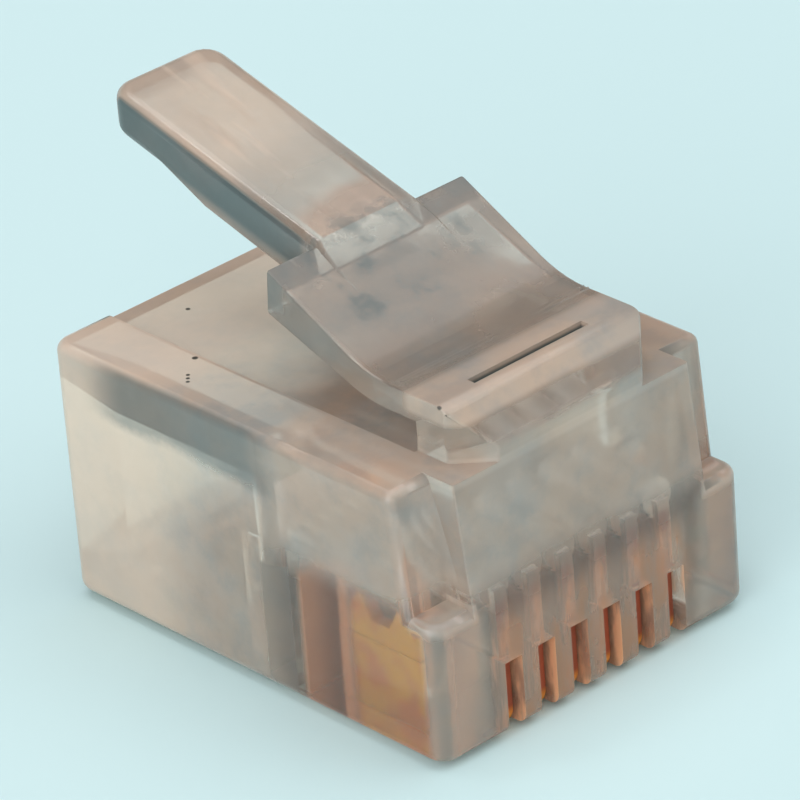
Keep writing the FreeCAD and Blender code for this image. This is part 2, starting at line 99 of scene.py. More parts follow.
# Soft-edged boxes of the plug, in millimetres: along each axis, where the box is gone and where it is full.
ZONES = {
    "low_nose": {"back": ((6.2, 4.2),), "up": ((4.2, 3.2),)},
    # The comb: a painted reflection of the copper contacts on its teeth, and its wear.
    "comb": {"across": ((3.4, 2.6),), "back": ((1.2, 0.8),), "up": ((3.8, 2.4),)},
    "channels": {"back": ((5.7, 5.3),), "up": ((2.8, 3.1),)},
    "latch": {"up": ((6.6, 7.2),)},
    "handled": {"up": ((7.8, 9.2),)},
    # Zones of painted shade, from the band under the rails to the ears: the plug is darkened there as if in shadow.
    "under_rail": {"across": ((4.6, 4.8),), "back": ((4.6, 6.0), (11.5, 9.8)), "ragged": ((5.2, 5.6),),
                   "up": ((6.8, 6.4),)},
    "groove": {"across": ((1.9, 1.8),), "back": ((1.3, 1.4), (1.9, 1.8)), "up": ((7.4, 7.6), (7.8, 7.7))},
    "tab_side": {"across": ((1.45, 1.54), (1.75, 1.68)), "back": ((6.6, 7.2),),
                 "below_top": ((0.05, 0.2), (1.5, 0.9))},
    "tab_end": {"across": ((1.75, 1.65),), "back": ((12.9, 13.35),), "below_top": ((0.1, 0.3),)},
    "spine": {"across": ((2.9, 1.8),), "back": ((3.6, 4.8), (7.6, 6.6)), "up": ((7.9, 8.2),)},
    "tab_low": {"across": ((1.9, 1.5),), "back": ((6.4, 7.0), (11.0, 8.0)), "up": ((8.6, 9.0),)},
    "slope": {"across": ((3.2, 2.8),), "back": ((1.9, 2.8), (6.9, 6.3)), "up": ((7.6, 7.9),)},
    "ears": {"across": ((1.9, 2.5),), "back": ((5.9, 6.3), (7.0, 6.9)), "up": ((8.2, 8.6),)},
    "rear_walls": {"back": ((6.0, 9.0),), "up": ((6.4, 5.8),)},
    # Painted reflection of the copper contacts inside the slots' ends.
    "slot_ends": {"back": ((3.5, 3.9), (5.0, 4.7)), "up": ((3.4, 3.0),)},
    "ledge": {"across": ((3.4, 3.6),), "back": ((0.9, 0.8),), "up": ((3.1, 3.4), (3.7, 3.6))},
    "blocks": {"across": ((3.0, 3.5),), "back": ((0.6, 0.2),), "up": ((3.6, 3.2),)},
    "rails": {"up": ((6.3, 6.45), (6.65, 6.55))},
    "root": {"back": ((2.6, 2.2),), "up": ((7.3, 7.5),)},
    "rear": {"back": ((7.0, 10.0),)},
    "blade_front": {"back": ((0.9, 0.6),)},
    "blade_foot": {"up": ((0.5, 0.2),)},
}
# How strong the painted shade of each shaded zone is, and how hazy each worn one.
SHADED = {"under_rail": 0.8, "groove": 1.0, "tab_side": 1.0, "tab_end": 0.8, "tab_low": 0.35, "slope": 0.6,
          "ears": 0.7}
WORN = {"ledge": 1.0, "comb": 0.85, "blocks": 0.85, "rails": 0.35, "root": 1.0, "rear": 0.8}
# The plane of the tab's top: its rise along the plug, and its height over the nose in millimetres.
TAB_SLOPE = 0.2794
TAB_START = 7.692
# How far the lower edge of the band of painted shade under the rails wanders, in millimetres.
RAGGED_FINE = 0.12
RAGGED_WIDE = 0.4
# Noises of the finishes: features along a metre, detail and roughness.
NOISES = {
    "cloud": (330.0, 4.0, 0.55),
    "grain": (5200.0, 2.0, 0.5),
    "streaks": (2200.0, 4.0, 0.5),
    "mottle": (800.0, 5.0, 0.6),
    "drawn": (9000.0, 3.0, 0.5),
    "plating": (900.0, 4.0, 0.5),
}
RIPPLE_DETAIL = 2.0
# Where a noise begins to show, and where it shows in full.
SPREADS = {
    "cloud": (0.35, 0.65),
    "blotch": (0.4, 0.64),
    # Spread of the mottled painted shade on the latch.
    "mottled_shade": (0.34, 0.64),
    "streaks": (0.4, 0.62),
    "rubbed": (0.42, 0.62),
    "scratch": (0.56, 0.68),
}
# How noises are drawn out along the three axes.
COMB_DRAW = (1.0, 1.0, 0.3)
BLADE_DRAW = (1.0, 1.0, 0.18)
SCRATCH_DRAW = (1.0, 0.12, 0.3)
# Scratches: their turn in radians, and how many lie along a metre.
SCRATCHES = ((0.5, 900.0), (-0.7, 1300.0))
SCRATCH_DETAIL = 3.0
# Specks of dirt: their places and sizes in millimetres.
SPECKS = (
    ((-3.24, 9.12, 6.5), 0.09),
    ((-3.88, 8.64, 6.5), 0.06),
    ((-3.99, 8.52, 6.5), 0.06),
    ((-4.1, 8.4, 6.5), 0.06),
    ((-1.51, 11.33, 6.3), 0.07),
    ((-3.01, 1.3, 7.85), 0.09),
)
SPECK_CORE = 0.6
# The fillers that close the line between housing and latch, in halves of the strip's thickness.
COVER_REACH = 0.64
CORE_REACH = 0.8
CORE_INSET = 0.1
# Boxes of the plug in millimetres: least and most across on either side, back and up.
ANYWHERE = (-math.inf, math.inf)
BOXES = {
    "hollows": (ANYWHERE, (-math.inf, 12.35), (0.03, 6.2)),
    "between_the_walls": ((-math.inf, 4.7), (1.2, math.inf), ANYWHERE),
    "latch": (ANYWHERE, ANYWHERE, (6.6, math.inf)),
    "groove": ((-math.inf, 1.9), (1.35, 1.85), (7.5, math.inf)),
    "brow": ((3.4, 3.7), (-math.inf, 0.8), (3.6, math.inf)),
}
# The inside of the front wall in millimetres: half its width, how far back it is, and its lean above a height.
FRONT_SIDE = 3.5
FRONT_BACK = 0.15
FRONT_LEAN = 0.12
FRONT_FOOT = 3.5


class Shade:
    """A socket of a material's node tree, with the sums that can be written on it."""

    def __init__(self, tree, socket=None):
        self.tree = tree
        self.socket = socket

    def node(self, kind, settings=None, sockets=None, out=0):
        """Adds a node: its settings first, then the values or links of its sockets."""
        made = self.tree.nodes.new(kind)
        for name, value in (settings or {}).items():
            setattr(made, name, value)
        for key, value in (sockets or {}).items():
            if isinstance(value, Shade):
                self.tree.links.new(value.socket, made.inputs[key])
            else:
                made.inputs[key].default_value = value
        return Shade(self.tree, made.outputs[out]) if len(made.outputs) else Shade(self.tree)

    def sum_of(self, operation, first, second):
        """A Math node on two values."""
        return self.node("ShaderNodeMath", {"operation": operation}, {0: first, 1: second})

    def __add__(self, other):
        return self.sum_of("ADD", self, other)

    __radd__ = __add__

    def __sub__(self, other):
        return self.sum_of("SUBTRACT", self, other)

    def __rsub__(self, other):
        return self.sum_of("SUBTRACT", other, self)

    def __mul__(self, other):
        return self.sum_of("MULTIPLY", self, other)

    __rmul__ = __mul__

    def __abs__(self):
        return self.sum_of("ABSOLUTE", self, 0.0)

    def most(self, other):
        """The larger of two values."""
        return self.sum_of("MAXIMUM", self, other)


def blank_material(name):
    """A material with an empty tree, and the tree's first handle."""
    material = bpy.data.materials.new(name)
    material.use_nodes = True
    material.node_tree.nodes.clear()
    return material, Shade(material.node_tree)


def rgba(colour):
    """A colour with full cover."""
    return (*colour[:3], 1.0)


def mixed(tree, share, low, high):
    """One colour going over to another."""
    return tree.node("ShaderNodeMix", {"data_type": "RGBA"}, {0: share, 6: low, 7: high}, out=2)


def ramp(tree, value, start, end):
    """Smoothly from nothing at the start to one at the end."""
    return tree.node("ShaderNodeMapRange", {"interpolation_type": "SMOOTHSTEP"},
                     {"Value": value, "From Min": start, "From Max": end})


def noise(tree, place, scale, detail, roughness=0.5):
    """A noise with so many features along a metre."""
    return tree.node("ShaderNodeTexNoise", {}, {"Vector": place, "Scale": scale, "Detail": detail,
                                                "Roughness": roughness})


def drawn_out(tree, place, scale, turn=0.0):
    """Places turned about the upright axis and drawn out along the three axes."""
    return tree.node("ShaderNodeMapping", {}, {"Vector": place, "Rotation": (0.0, 0.0, turn), "Scale": scale})


def zone(tree, along, name):
    """One inside a soft-edged box of the plug, nothing outside it."""
    fades = ((along[axis], *limits) for axis, pairs in ZONES[name].items() for limits in pairs)
    return reduce(mul, (ramp(tree, place, gone * MM, full * MM) for place, gone, full in fades))


def scratches(tree, place):
    """Short fine lines, in two directions."""
    lines = []
    for turn, scale in SCRATCHES:
        line = noise(tree, drawn_out(tree, place, SCRATCH_DRAW, turn), scale, SCRATCH_DETAIL)
        lines.append(ramp(tree, line, *SPREADS["scratch"]))
    return reduce(add, lines)


def specks(tree, place):
    """A few dark specks of dirt, each at its own place."""
    dots = []
    for spot, size in SPECKS:
        away = tree.node("ShaderNodeVectorMath", {"operation": "DISTANCE"},
                         {0: place, 1: [part * MM for part in spot]}, out="Value")
        dots.append(ramp(tree, away, size * MM, SPECK_CORE * size * MM))
    return reduce(add, dots)


def clear_plastic(look):
    """Warm smoky polycarbonate: clear inside, hazy on its handled skin, scuffed on the latch, with a few specks,
    painted shade in zones and a painted reflection of the copper contacts on the comb.
    """
    material, tree = blank_material("smoky_plastic")
    place = tree.node("ShaderNodeAttribute", {"attribute_name": PLACE}, out="Vector")
    skin = tree.node("ShaderNodeAttribute", {"attribute_name": SKIN}, out="Fac")
    patch = ramp(tree, noise(tree, place, *NOISES["cloud"]), *SPREADS["cloud"])
    ripple = noise(tree, place, look.ripple_scale, RIPPLE_DETAIL)
    grain = noise(tree, place, *NOISES["grain"])
    mottle = noise(tree, place, *NOISES["mottle"])
    blotch = ramp(tree, mottle, *SPREADS["blotch"])
    streaks = ramp(tree, noise(tree, drawn_out(tree, place, COMB_DRAW), *NOISES["streaks"]), *SPREADS["streaks"])
    speck = specks(tree, place)

    # Places along the plug, and what the zones make of them: painted shade and a painted copper reflection.
    across, back, up = (tree.node("ShaderNodeSeparateXYZ", {}, {"Vector": place}, out=axis) for axis in "XYZ")
    ragged = up + grain * (RAGGED_FINE * MM) + ripple * (RAGGED_WIDE * MM)
    below_top = back * TAB_SLOPE + TAB_START * MM - up
    along = {"across": abs(across), "back": back, "up": up, "ragged": ragged, "below_top": below_top}
    # Painted reflection of the copper contacts on the comb, in streaks.
    comb = zone(tree, along, "comb") * (streaks * look.streak_share + (1.0 - look.streak_share))
    # Painted shade in mottled patches over the spine of the latch.
    mottled_shade = zone(tree, along, "spine") * ramp(tree, mottle, *SPREADS["mottled_shade"])
    # Painted shade: the shaded zones, and the mottled shade on the latch's spine.
    shadow = reduce(Shade.most, (zone(tree, along, name) * strength for name, strength in SHADED.items()))
    shadow = shadow.most(mottled_shade * look.mottled_shade)
    inside = (1.0 - skin) * zone(tree, along, "channels")
    # Where the painted reflection of the copper contacts lies: the comb and the inside of the slots' ends.
    copper_reflection_mask = comb.most(zone(tree, along, "slot_ends") * (1.0 - skin))

    # The clear plastic.
    bump = tree.node("ShaderNodeBump", {}, {"Strength": look.ripple_strength, "Distance": look.ripple_height,
                                            "Height": ripple}, out="Normal")
    tint = mixed(tree, patch, rgba(look.tint), rgba(look.tint_deep))
    tint = mixed(tree, zone(tree, along, "rear_walls"), tint, rgba(look.tint_rear))
    # The clear plastic takes the painted copper reflection on the comb.
    tint = mixed(tree, comb, tint, rgba(look.copper_reflection_colour))
    clear = tree.node("ShaderNodeBsdfPrincipled", {}, {
        "Base Color": mixed(tree, speck, tint, rgba(look.dirt)),
        "Roughness": patch * look.gloss_change + look.gloss + inside * look.dull_inside,
        "IOR": PLASTIC_IOR,
        "Transmission Weight": 1.0,
        "Normal": bump,
    }, out="BSDF")

    # The haze over it, its colour carrying the painted shade and the painted copper reflection.
    greyer = patch * (1.0 - look.blotch_share) + blotch * look.blotch_share
    greyer = greyer * (1.0 - zone(tree, along, "rear") * look.rear_warmth)
    haze = mixed(tree, copper_reflection_mask, mixed(tree, greyer, rgba(look.haze), rgba(look.haze_deep)), rgba(look.copper_reflection_colour))
    dull = tree.node("ShaderNodeBsdfPrincipled", {}, {
        "Base Color": mixed(tree, speck, mixed(tree, shadow, haze, rgba(look.shadow)), rgba(look.dirt)),
        "Roughness": look.dull_gloss,
        "IOR": PLASTIC_IOR,
        "Normal": bump,
    }, out="BSDF")

    # How much of the surface is haze, painted shade and painted copper reflection included.
    polished = zone(tree, along, "low_nose").most(zone(tree, along, "latch") * look.latch_polish)
    scuffs = scratches(tree, place) * zone(tree, along, "handled") * look.scuff_share
    worn = reduce(add, (zone(tree, along, name) * strength for name, strength in WORN.items())) * look.worn_share
    share = (1.0 - polished * look.polish) * (patch * look.haze_change + look.haze_share) + scuffs + worn
    # Haze carrying the painted copper reflection between the teeth.
    teeth = (1.0 - skin) * copper_reflection_mask * look.teeth_share
    shaded = shadow * (patch * look.shadow_change + look.shadow_share)
    share = (skin * share).most(teeth).most(shaded).most(speck)
    surface = tree.node("ShaderNodeMixShader", {}, {0: share, 1: clear, 2: dull})
    tree.node("ShaderNodeOutputMaterial", {}, {"Surface": surface})
    return material


def gold_plate(look):
    """Thin gold over stamped bronze, redder where the plating is rubbed, with painted shade on the front edges."""
    material, tree = blank_material("gold_plate")
    place = tree.node("ShaderNodeTexCoord", out="Object")
    drawn = noise(tree, drawn_out(tree, place, BLADE_DRAW), *NOISES["drawn"])
    back, up = (tree.node("ShaderNodeSeparateXYZ", {}, {"Vector": place}, out=axis) for axis in "YZ")
    along = {"back": back, "up": up}
    rubbed = ramp(tree, noise(tree, place, *NOISES["plating"]), *SPREADS["rubbed"])
    flats = mixed(tree, rubbed, rgba(look.gold), rgba(look.bronze))
    # Front edges in painted shade, orange copper at their lower corners.
    front = mixed(tree, zone(tree, along, "blade_foot"), rgba(look.front_shade), rgba(look.copper))
    colour = mixed(tree, zone(tree, along, "blade_front"), flats, front)
    bump = tree.node("ShaderNodeBump", {}, {"Strength": look.drawn_strength, "Distance": look.drawn_height,
                                            "Height": drawn}, out="Normal")
    shader = tree.node("ShaderNodeBsdfPrincipled", {}, {
        "Base Color": colour,
        "Metallic": look.metal_share,
        "Roughness": drawn * look.gloss_change + look.gloss,
        "Normal": bump,
    }, out="BSDF")
    tree.node("ShaderNodeOutputMaterial", {}, {"Surface": shader})
    return material


def solid_copy(node):
    """A CAD node's mesh as a new object in millimetres, its loose triangles merged."""
    mesh = frame["nodes"][node].data.copy()
    mesh.materials.clear()
    shape = bmesh.new()
    shape.from_mesh(mesh)
    bmesh.ops.remove_doubles(shape, verts=shape.verts, dist=MM * MM)
    bmesh.ops.scale(shape, vec=(1 / MM,) * 3, verts=shape.verts)
    shape.to_mesh(mesh)
    shape.free()
    return placed(f"{node}_copy", mesh)


def placed(name, mesh):
    """A new object in the scene."""
    made = bpy.data.objects.new(name, mesh)
    bpy.context.scene.collection.objects.link(made)
    return made


def block(name, low, high):
    """A plain box between two corners, as a new object."""
    shape = bmesh.new()
    bmesh.ops.create_cube(shape, size=1.0)
    middle = (Vector(low) + Vector(high)) / 2
    bmesh.ops.scale(shape, vec=Vector(high) - Vector(low), verts=shape.verts)
    bmesh.ops.translate(shape, vec=middle, verts=shape.verts)
    mesh = bpy.data.meshes.new(name)
    shape.to_mesh(mesh)
    shape.free()
    return placed(name, mesh)


def evaluated_mesh(thing, name):
    """The object's mesh with its modifiers applied."""
    bpy.context.view_layer.update()
    seen = thing.evaluated_get(bpy.context.evaluated_depsgraph_get())
    mesh = bpy.data.meshes.new_from_object(seen)
    mesh.name = name
    return mesh


def discard(*things):
    """Removes helper objects and their meshes."""
    for thing in things:
        mesh = thing.data
        bpy.data.objects.remove(thing)
        bpy.data.meshes.remove(mesh)


def joined_solid(main, *others):
    """The union of solids, as one mesh."""
    for other in others:
        union = main.modifiers.new("union", "BOOLEAN")
        union.operation = "UNION"
        union.solver = "MANIFOLD"
        union.object = other
    mesh = evaluated_mesh(main, "moulding")
    discard(main, *others)
    return mesh


def moulding_shape():
    """The housing and the latch as the one moulding they are, with the line between them closed."""
    low, high = (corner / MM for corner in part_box("latch"))
    hinge = HINGE / MM
    half = STRIP / MM / 2
    cover = (Vector((low.x, hinge.y - half, hinge.z - half)),
             Vector((high.x, hinge.y + COVER_REACH * half, hinge.z + half)))
    core = (cover[0] + Vector((0, 0, CORE_INSET * half)),
            cover[1] + Vector((0, CORE_REACH * half, -CORE_INSET * half)))
    mesh = joined_solid(solid_copy("housing"), block("cover", *cover), block("core", *core), solid_copy("latch"))
    shape = bmesh.new()
    shape.from_mesh(mesh)
    bpy.data.meshes.remove(mesh)
    for vert in shape.verts:
        if abs(vert.co.y - hinge.y) < 2 * half:
            for level in (hinge.z - half, hinge.z + half):
                if abs(vert.co.z - level) < SLIVER:
                    vert.co.z = level
    bmesh.ops.remove_doubles(shape, verts=shape.verts, dist=SLIVER / 2)
    bmesh.ops.dissolve_degenerate(shape, edges=shape.edges, dist=SLIVER / 4)
    bmesh.ops.dissolve_limit(shape, angle_limit=FLAT, verts=shape.verts, edges=shape.edges)
    return shape


def soften(shape, size, picked):
    """Rounds the picked outer edges, as a moulding's or a stamping's edges are."""
    edges = [edge for edge in shape.edges if len(edge.link_faces) == 2
             and edge.calc_face_angle_signed(0.0) > SHARP and picked(*(edge.verts[0].co + edge.verts[1].co) / 2)]
    bmesh.ops.bevel(shape, geom=edges, offset=size, segments=2, profile=0.5, affect="EDGES", clamp_overlap=False)
    bmesh.ops.dissolve_degenerate(shape, edges=shape.edges, dist=SLIVER / 4)


def part_of(shape, name, picked):
    """The faces whose middle is picked, as a new object in metres."""
    part = shape.copy()
    others = [face for face in part.faces if not picked(face.calc_center_median())]
    bmesh.ops.delete(part, geom=others, context="FACES")
    bmesh.ops.scale(part, vec=(MM,) * 3, verts=part.verts)
    mesh = bpy.data.meshes.new(name)
    part.to_mesh(mesh)
    part.free()
    return placed(name, mesh)


def welded(keeper, other):
    """Two objects that meet along an edge, made one."""
    with bpy.context.temp_override(active_object=keeper, object=keeper, selected_objects=[keeper, other],
                                   selected_editable_objects=[keeper, other]):
        bpy.ops.object.join()
    shape = bmesh.new()
    shape.from_mesh(keeper.data)
    rim = [vert for vert in shape.verts if vert.is_boundary]
    bmesh.ops.remove_doubles(shape, verts=rim, dist=RIM_GAP * MM)
    for face in shape.faces:
        face.smooth = True
        face.material_index = 0
    if any(not edge.is_manifold for edge in shape.edges):
        raise RuntimeError(f"{keeper.name} is not closed")
    shape.to_mesh(keeper.data)
    shape.free()


def within(name, across, back, up):
    """Whether a place is in a box of the plug, on either side of its middle."""
    return all(least < place < most for place, (least, most) in zip((abs(across), back, up), BOXES[name]))


def even_shading(thing):
    """Flat faces shade flat up to their rounded edges."""
    thing.data.set_sharp_from_angle(angle=SHARP)
    normals = thing.modifiers.new("normals", "WEIGHTED_NORMAL")
    normals.keep_sharp = True
    rough = thing.data
    thing.data = evaluated_mesh(thing, thing.name)
    thing.modifiers.clear()
    bpy.data.meshes.remove(rough)


def contact_row():
    """A node group that sets copies of one blade side by side, each seated a little differently."""
    group = bpy.data.node_groups.new("contact_row", "GeometryNodeTree")
    inputs = (("Blade", "Geometry"), ("Count", "Int"), ("First", "Vector"), ("Pitch", "Vector"),
              ("Play", "Vector"), ("Seed", "Int"), ("Plating", "Material"))
    for name, kind in inputs:
        group.interface.new_socket(name, in_out="INPUT", socket_type=f"NodeSocket{kind}")
    group.interface.new_socket("Row", in_out="OUTPUT", socket_type="NodeSocketGeometry")
    tree = Shade(group)
    given = group.nodes.new("NodeGroupInput").outputs
    blade, count, first, pitch, play, seed, plating = (Shade(group, given[name]) for name, kind in inputs)
    places = tree.node("GeometryNodeMeshLine", {"mode": "OFFSET"},
                       {"Count": count, "Start Location": first, "Offset": pitch})
    row = tree.node("GeometryNodeInstanceOnPoints", {}, {"Points": places, "Instance": blade})
    seat = tree.node("FunctionNodeRandomValue", {"data_type": "FLOAT_VECTOR"},
                     {0: (0.0, 0.0, 0.0), 1: play, "Seed": seed})
    seated = tree.node("GeometryNodeTranslateInstances", {}, {"Instances": row, "Translation": seat})
    real = tree.node("GeometryNodeRealizeInstances", {}, {"Geometry": seated})
    plated = tree.node("GeometryNodeSetMaterial", {}, {"Geometry": real, "Material": plating})
    tree.node("NodeGroupOutput", {}, {"Row": plated})
    return group


def a_colour(name, description, default):
    """A colour that a user can change."""
    return FloatVectorProperty(name=name, description=description, default=default, subtype="COLOR")


def a_share(name, description, default):
    """A share, from nothing to all."""
    return FloatProperty(name=name, description=description, default=default, subtype="FACTOR", min=0.0, max=1.0)


def a_length(name, description, default):
    """A length in metres."""
    return FloatProperty(name=name, description=description, default=default, unit="LENGTH", precision=6)


class PlugMoulding(bpy.types.PropertyGroup):
    """Sizes and finish of the clear moulding."""

    tint: a_colour("Tint", "Colour of the clear plastic", (0.98, 0.84, 0.75))
    tint_deep: a_colour("Deep tint", "Colour of its cloudier patches", (0.95, 0.81, 0.72))
    tint_rear: a_colour("Rear tint", "Colour of the walls of the cable cavity", (0.97, 0.76, 0.63))
    # Painted reflection of the copper contacts on the teeth of the comb.
    copper_reflection_colour: a_colour("Comb tint", "Warmth the contacts lend the teeth of the comb", (0.96, 0.50, 0.28))
    haze: a_colour("Haze", "Colour of the hazy skin", (0.83, 0.62, 0.48))
    haze_deep: a_colour("Deep haze", "Colour of the skin's greyer patches", (0.48, 0.46, 0.43))
    # Painted shade, mixed into the hazy skin in the shaded zones.
    shadow: a_colour("Shadow", "Colour of the shaded zones", (0.09, 0.12, 0.12))
    dirt: a_colour("Dirt", "Colour of the specks", (0.06, 0.05, 0.04))
    haze_share: a_share("Haze share", "Least share of haze on the skin", 0.36)
    haze_change: a_share("Haze change", "Haze added in patches", 0.12)
    worn_share: a_share("Worn share", "Haze added where the skin is worn", 0.3)
    # Strength of the painted copper reflection between the teeth of the comb.
    teeth_share: a_share("Teeth share", "Haze between the teeth of the comb", 0.8)
    # Share of the painted copper reflection that comes in streaks.
    streak_share: a_share("Streak share", "Share of the comb's warmth that comes in streaks", 0.6)
    blotch_share: a_share("Blotch share", "Share of the skin's grey that comes in small blotches", 0.4)
    rear_warmth: a_share("Rear warmth", "Grey taken away towards the cable end", 0.6)
    polish: a_share("Polish", "Haze taken away round the contacts", 0.85)
    latch_polish: a_share("Latch polish", "Share of the polish on the latch", 0.4)
    # Painted shade in mottled patches on the latch.
    mottled_shade: a_share("Smoke", "Strength of the smoky mottling on the latch", 0.9)
    shadow_share: a_share("Shadow share", "Strength of the shaded zones", 0.75)
    shadow_change: a_share("Shadow change", "Strength added to them in patches", 0.2)
    scuff_share: a_share("Scuff share", "Haze added by scratches", 0.18)
    gloss: a_share("Roughness", "Roughness of the glossiest patches", 0.1)
    gloss_change: a_share("Roughness change", "Added in the dullest patches", 0.1)
    dull_gloss: a_share("Haze roughness", "Roughness of the hazy skin", 0.35)
    dull_inside: a_share("Dull inside", "Roughness added in the channels", 0.4)
    ripple_scale: FloatProperty(name="Ripple scale", description="Ripples along a metre", default=420.0)
    ripple_height: a_length("Ripple height", "Depth of the mould's ripples", 0.00012)
    ripple_strength: a_share("Ripple strength", "Share of the ripples shown", 0.2)
    edge_round: a_length("Edge round", "Outer edges of the latch and the brow", 0.00006)
    bend_start: a_length("Bend start", "Nose to where the latch begins to bend", 0.0021)
    bend_end: a_length("Bend end", "Nose to where the latch is stiff", 0.0034)
    bend_cuts: IntProperty(name="Bend cuts", description="Steps along the bend", default=8)


class PlugContacts(bpy.types.PropertyGroup):
    """Sizes and finish of the contact blades."""

    gold: a_colour("Gold", "Plating on the flats", (1.0, 0.57, 0.04))
    bronze: a_colour("Bronze", "Where the plating is thin", (0.90, 0.36, 0.07))
    copper: a_colour("Copper", "Lower corners, where the plating is worn", (0.95, 0.36, 0.06))
    # Painted shade on the blades' front edges, deep between the teeth.
    front_shade: a_colour("Tarnish", "Front edges, seen between the teeth", (0.42, 0.10, 0.05))
    metal_share: a_share("Metal share", "How much the plating shines as metal", 0.5)
    gloss: a_share("Roughness", "Roughness of the glossiest plating", 0.35)
    gloss_change: a_share("Roughness change", "Added along the drawing marks", 0.2)
    drawn_height: a_length("Drawing marks", "Depth of the marks of the rolled strip", 0.00001)
    drawn_strength: a_share("Drawing strength", "Share of the marks shown", 0.25)
    edge_round: a_length("Edge round", "Stamped edges of a blade", 0.00002)
    seat_play: a_length("Seat play", "How much higher some blades sit", 0.00003)
    seed: IntProperty(name="Seed", description="Which blades sit higher", default=4)


class PlugStage(bpy.types.PropertyGroup):
    """Floor, room and lamps."""

    floor: a_colour("Floor", "Colour of the floor", (0.651, 0.847, 0.871))
    room: a_colour("Room", "Colour of the room above the horizon", (0.35, 0.34, 0.33))
    room_dark: a_colour("Dark room", "Colour of the room behind the plug", (0.04, 0.055, 0.065))
    floor_reach: a_length("Floor reach", "Middle of the floor to its edges", 4.0)


class PLUG_OT_moulding(bpy.types.Operator):
    """Builds the clear moulding over the housing and the latch"""

    bl_idname = "plug.moulding"
    bl_label = "Clear moulding"

    def execute(self, context):
        look = context.scene.plug_moulding
        shape = moulding_shape()
        soften(shape, look.edge_round / MM, self.outer_edge)
        gap_end = look.bend_start / MM
        bend_end = look.bend_end / MM
        for cut in range(look.bend_cuts + 1):
            place = gap_end + (bend_end - gap_end) * cut / look.bend_cuts
            strip = [face for face in shape.faces if self.over_the_rails(face.calc_center_median())]
            around = {item for face in strip for item in (face, *face.edges, *face.verts)}
            bmesh.ops.bisect_plane(shape, geom=list(around), plane_co=(0, place, 0), plane_no=(0, 1, 0),
                                   dist=ON_THE_CUT)

        def springy(middle):
            """A face of the latch behind the closed end of the gap."""
            return middle.y > gap_end and self.over_the_rails(middle)

        moulding = part_of(shape, "moulding", lambda middle: not springy(middle))
        latch = part_of(shape, "springy_latch", springy)
        shape.free()
        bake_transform(moulding)
        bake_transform(latch)
        welded(moulding, latch)
        even_shading(moulding)
        self.mark_skin(moulding.data)
        moulding.data.materials.clear()
        moulding.data.materials.append(clear_plastic(look))
        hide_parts("housing", "latch")
        return {"FINISHED"}

    def mark_skin(self, mesh):
        """Marks the faces a finger can reach, which are hazy, and each point's place before the latch bends."""
        skin = mesh.attributes.new(SKIN, "FLOAT", "FACE")
        skin.data.foreach_set("value", [float(not self.enclosed(face.center / MM)) for face in mesh.polygons])
        place = mesh.attributes.new(PLACE, "FLOAT_VECTOR", "POINT")
        place.data.foreach_set("vector", [part for vertex in mesh.vertices for part in vertex.co])

    @staticmethod
    def enclosed(middle):
        """Inside the slots, the channels or the cavity."""
        front = FRONT_BACK + FRONT_LEAN * max(0.0, middle.z - FRONT_FOOT)
        behind_the_front = abs(middle.x) < FRONT_SIDE and middle.y > front
        return within("hollows", *middle) and (behind_the_front or within("between_the_walls", *middle))

    @staticmethod
    def over_the_rails(middle):
        """Above the housing's rails, where only the latch and its root are."""
        return middle.z > (HINGE.z - STRIP) / MM

    @staticmethod
    def outer_edge(across, back, up):
        """Edges of the latch, of its root and of the brow, not the groove in the root."""
        place = across, back, up
        return (within("latch", *place) and not within("groove", *place)) or within("brow", *place)


class PLUG_OT_contacts(bpy.types.Operator):
    """Sets the six plated contact blades in their slots"""

    bl_idname = "plug.contacts"
    bl_label = "Contact blades"

    def execute(self, context):
        look = context.scene.plug_contacts
        first, second = (sum(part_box(name), Vector()) / 2 for name in CONTACTS[:2])
        pattern = solid_copy(CONTACTS[0])
        shape = bmesh.new()
        shape.from_mesh(pattern.data)
        bmesh.ops.dissolve_limit(shape, angle_limit=FLAT, verts=shape.verts, edges=shape.edges)
        soften(shape, look.edge_round / MM, lambda across, back, up: True)
        bmesh.ops.scale(shape, vec=(MM,) * 3, verts=shape.verts)
        bmesh.ops.translate(shape, vec=(-first.x, 0, 0), verts=shape.verts)
        for face in shape.faces:
            face.smooth = True
        shape.to_mesh(pattern.data)
        shape.free()
        group = contact_row()
        row = pattern.modifiers.new("row", "NODES")
        row.node_group = group
        given = {"Count": len(CONTACTS), "First": (first.x, 0, 0), "Pitch": (second.x - first.x, 0, 0),
                 "Play": (0, 0, look.seat_play), "Seed": look.seed, "Plating": gold_plate(look)}
        for socket in group.interface.items_tree:
            if socket.in_out == "INPUT" and socket.name in given:
                row[socket.identifier] = given[socket.name]
        blades = placed("contacts", evaluated_mesh(pattern, "contacts"))
        discard(pattern)
        even_shading(blades)
        blades.data.materials.clear()
        blades.data.materials.append(given["Plating"])
        blades.data.polygons.foreach_set("material_index", [0] * len(blades.data.polygons))
        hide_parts(*CONTACTS)
        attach(blades, "body")
        return {"FINISHED"}


# The photograph's camera: azimuth, elevation and roll in degrees, distance in metres, focus and centre in pixels.
CAMERA = (-41.269, 28.347, -4.584, 0.135158, 6000.0, 432.958, 457.299)
NEAREST = 0.001
AIM = Vector((0.0, 0.005, 0.004))
# Where the dark side of the room is, and the cosines and heights between which the room changes.
DARK_WAY = (0.57, 0.66, 0.49)
DARK_SPREAD = (0.2, 0.75)
HORIZON = (0.15, 0.35)
# Each lamp's place and size in metres and its power in watts.
LAMPS = {
    "key": ((0.4, -0.2, 2.0), 2.6, 31.0),
    "fill": ((-1.6, -0.6, 1.0), 2.0, 25.0),
    "spark": ((-0.3, 0.6, 1.8), 0.25, 1.5),
}


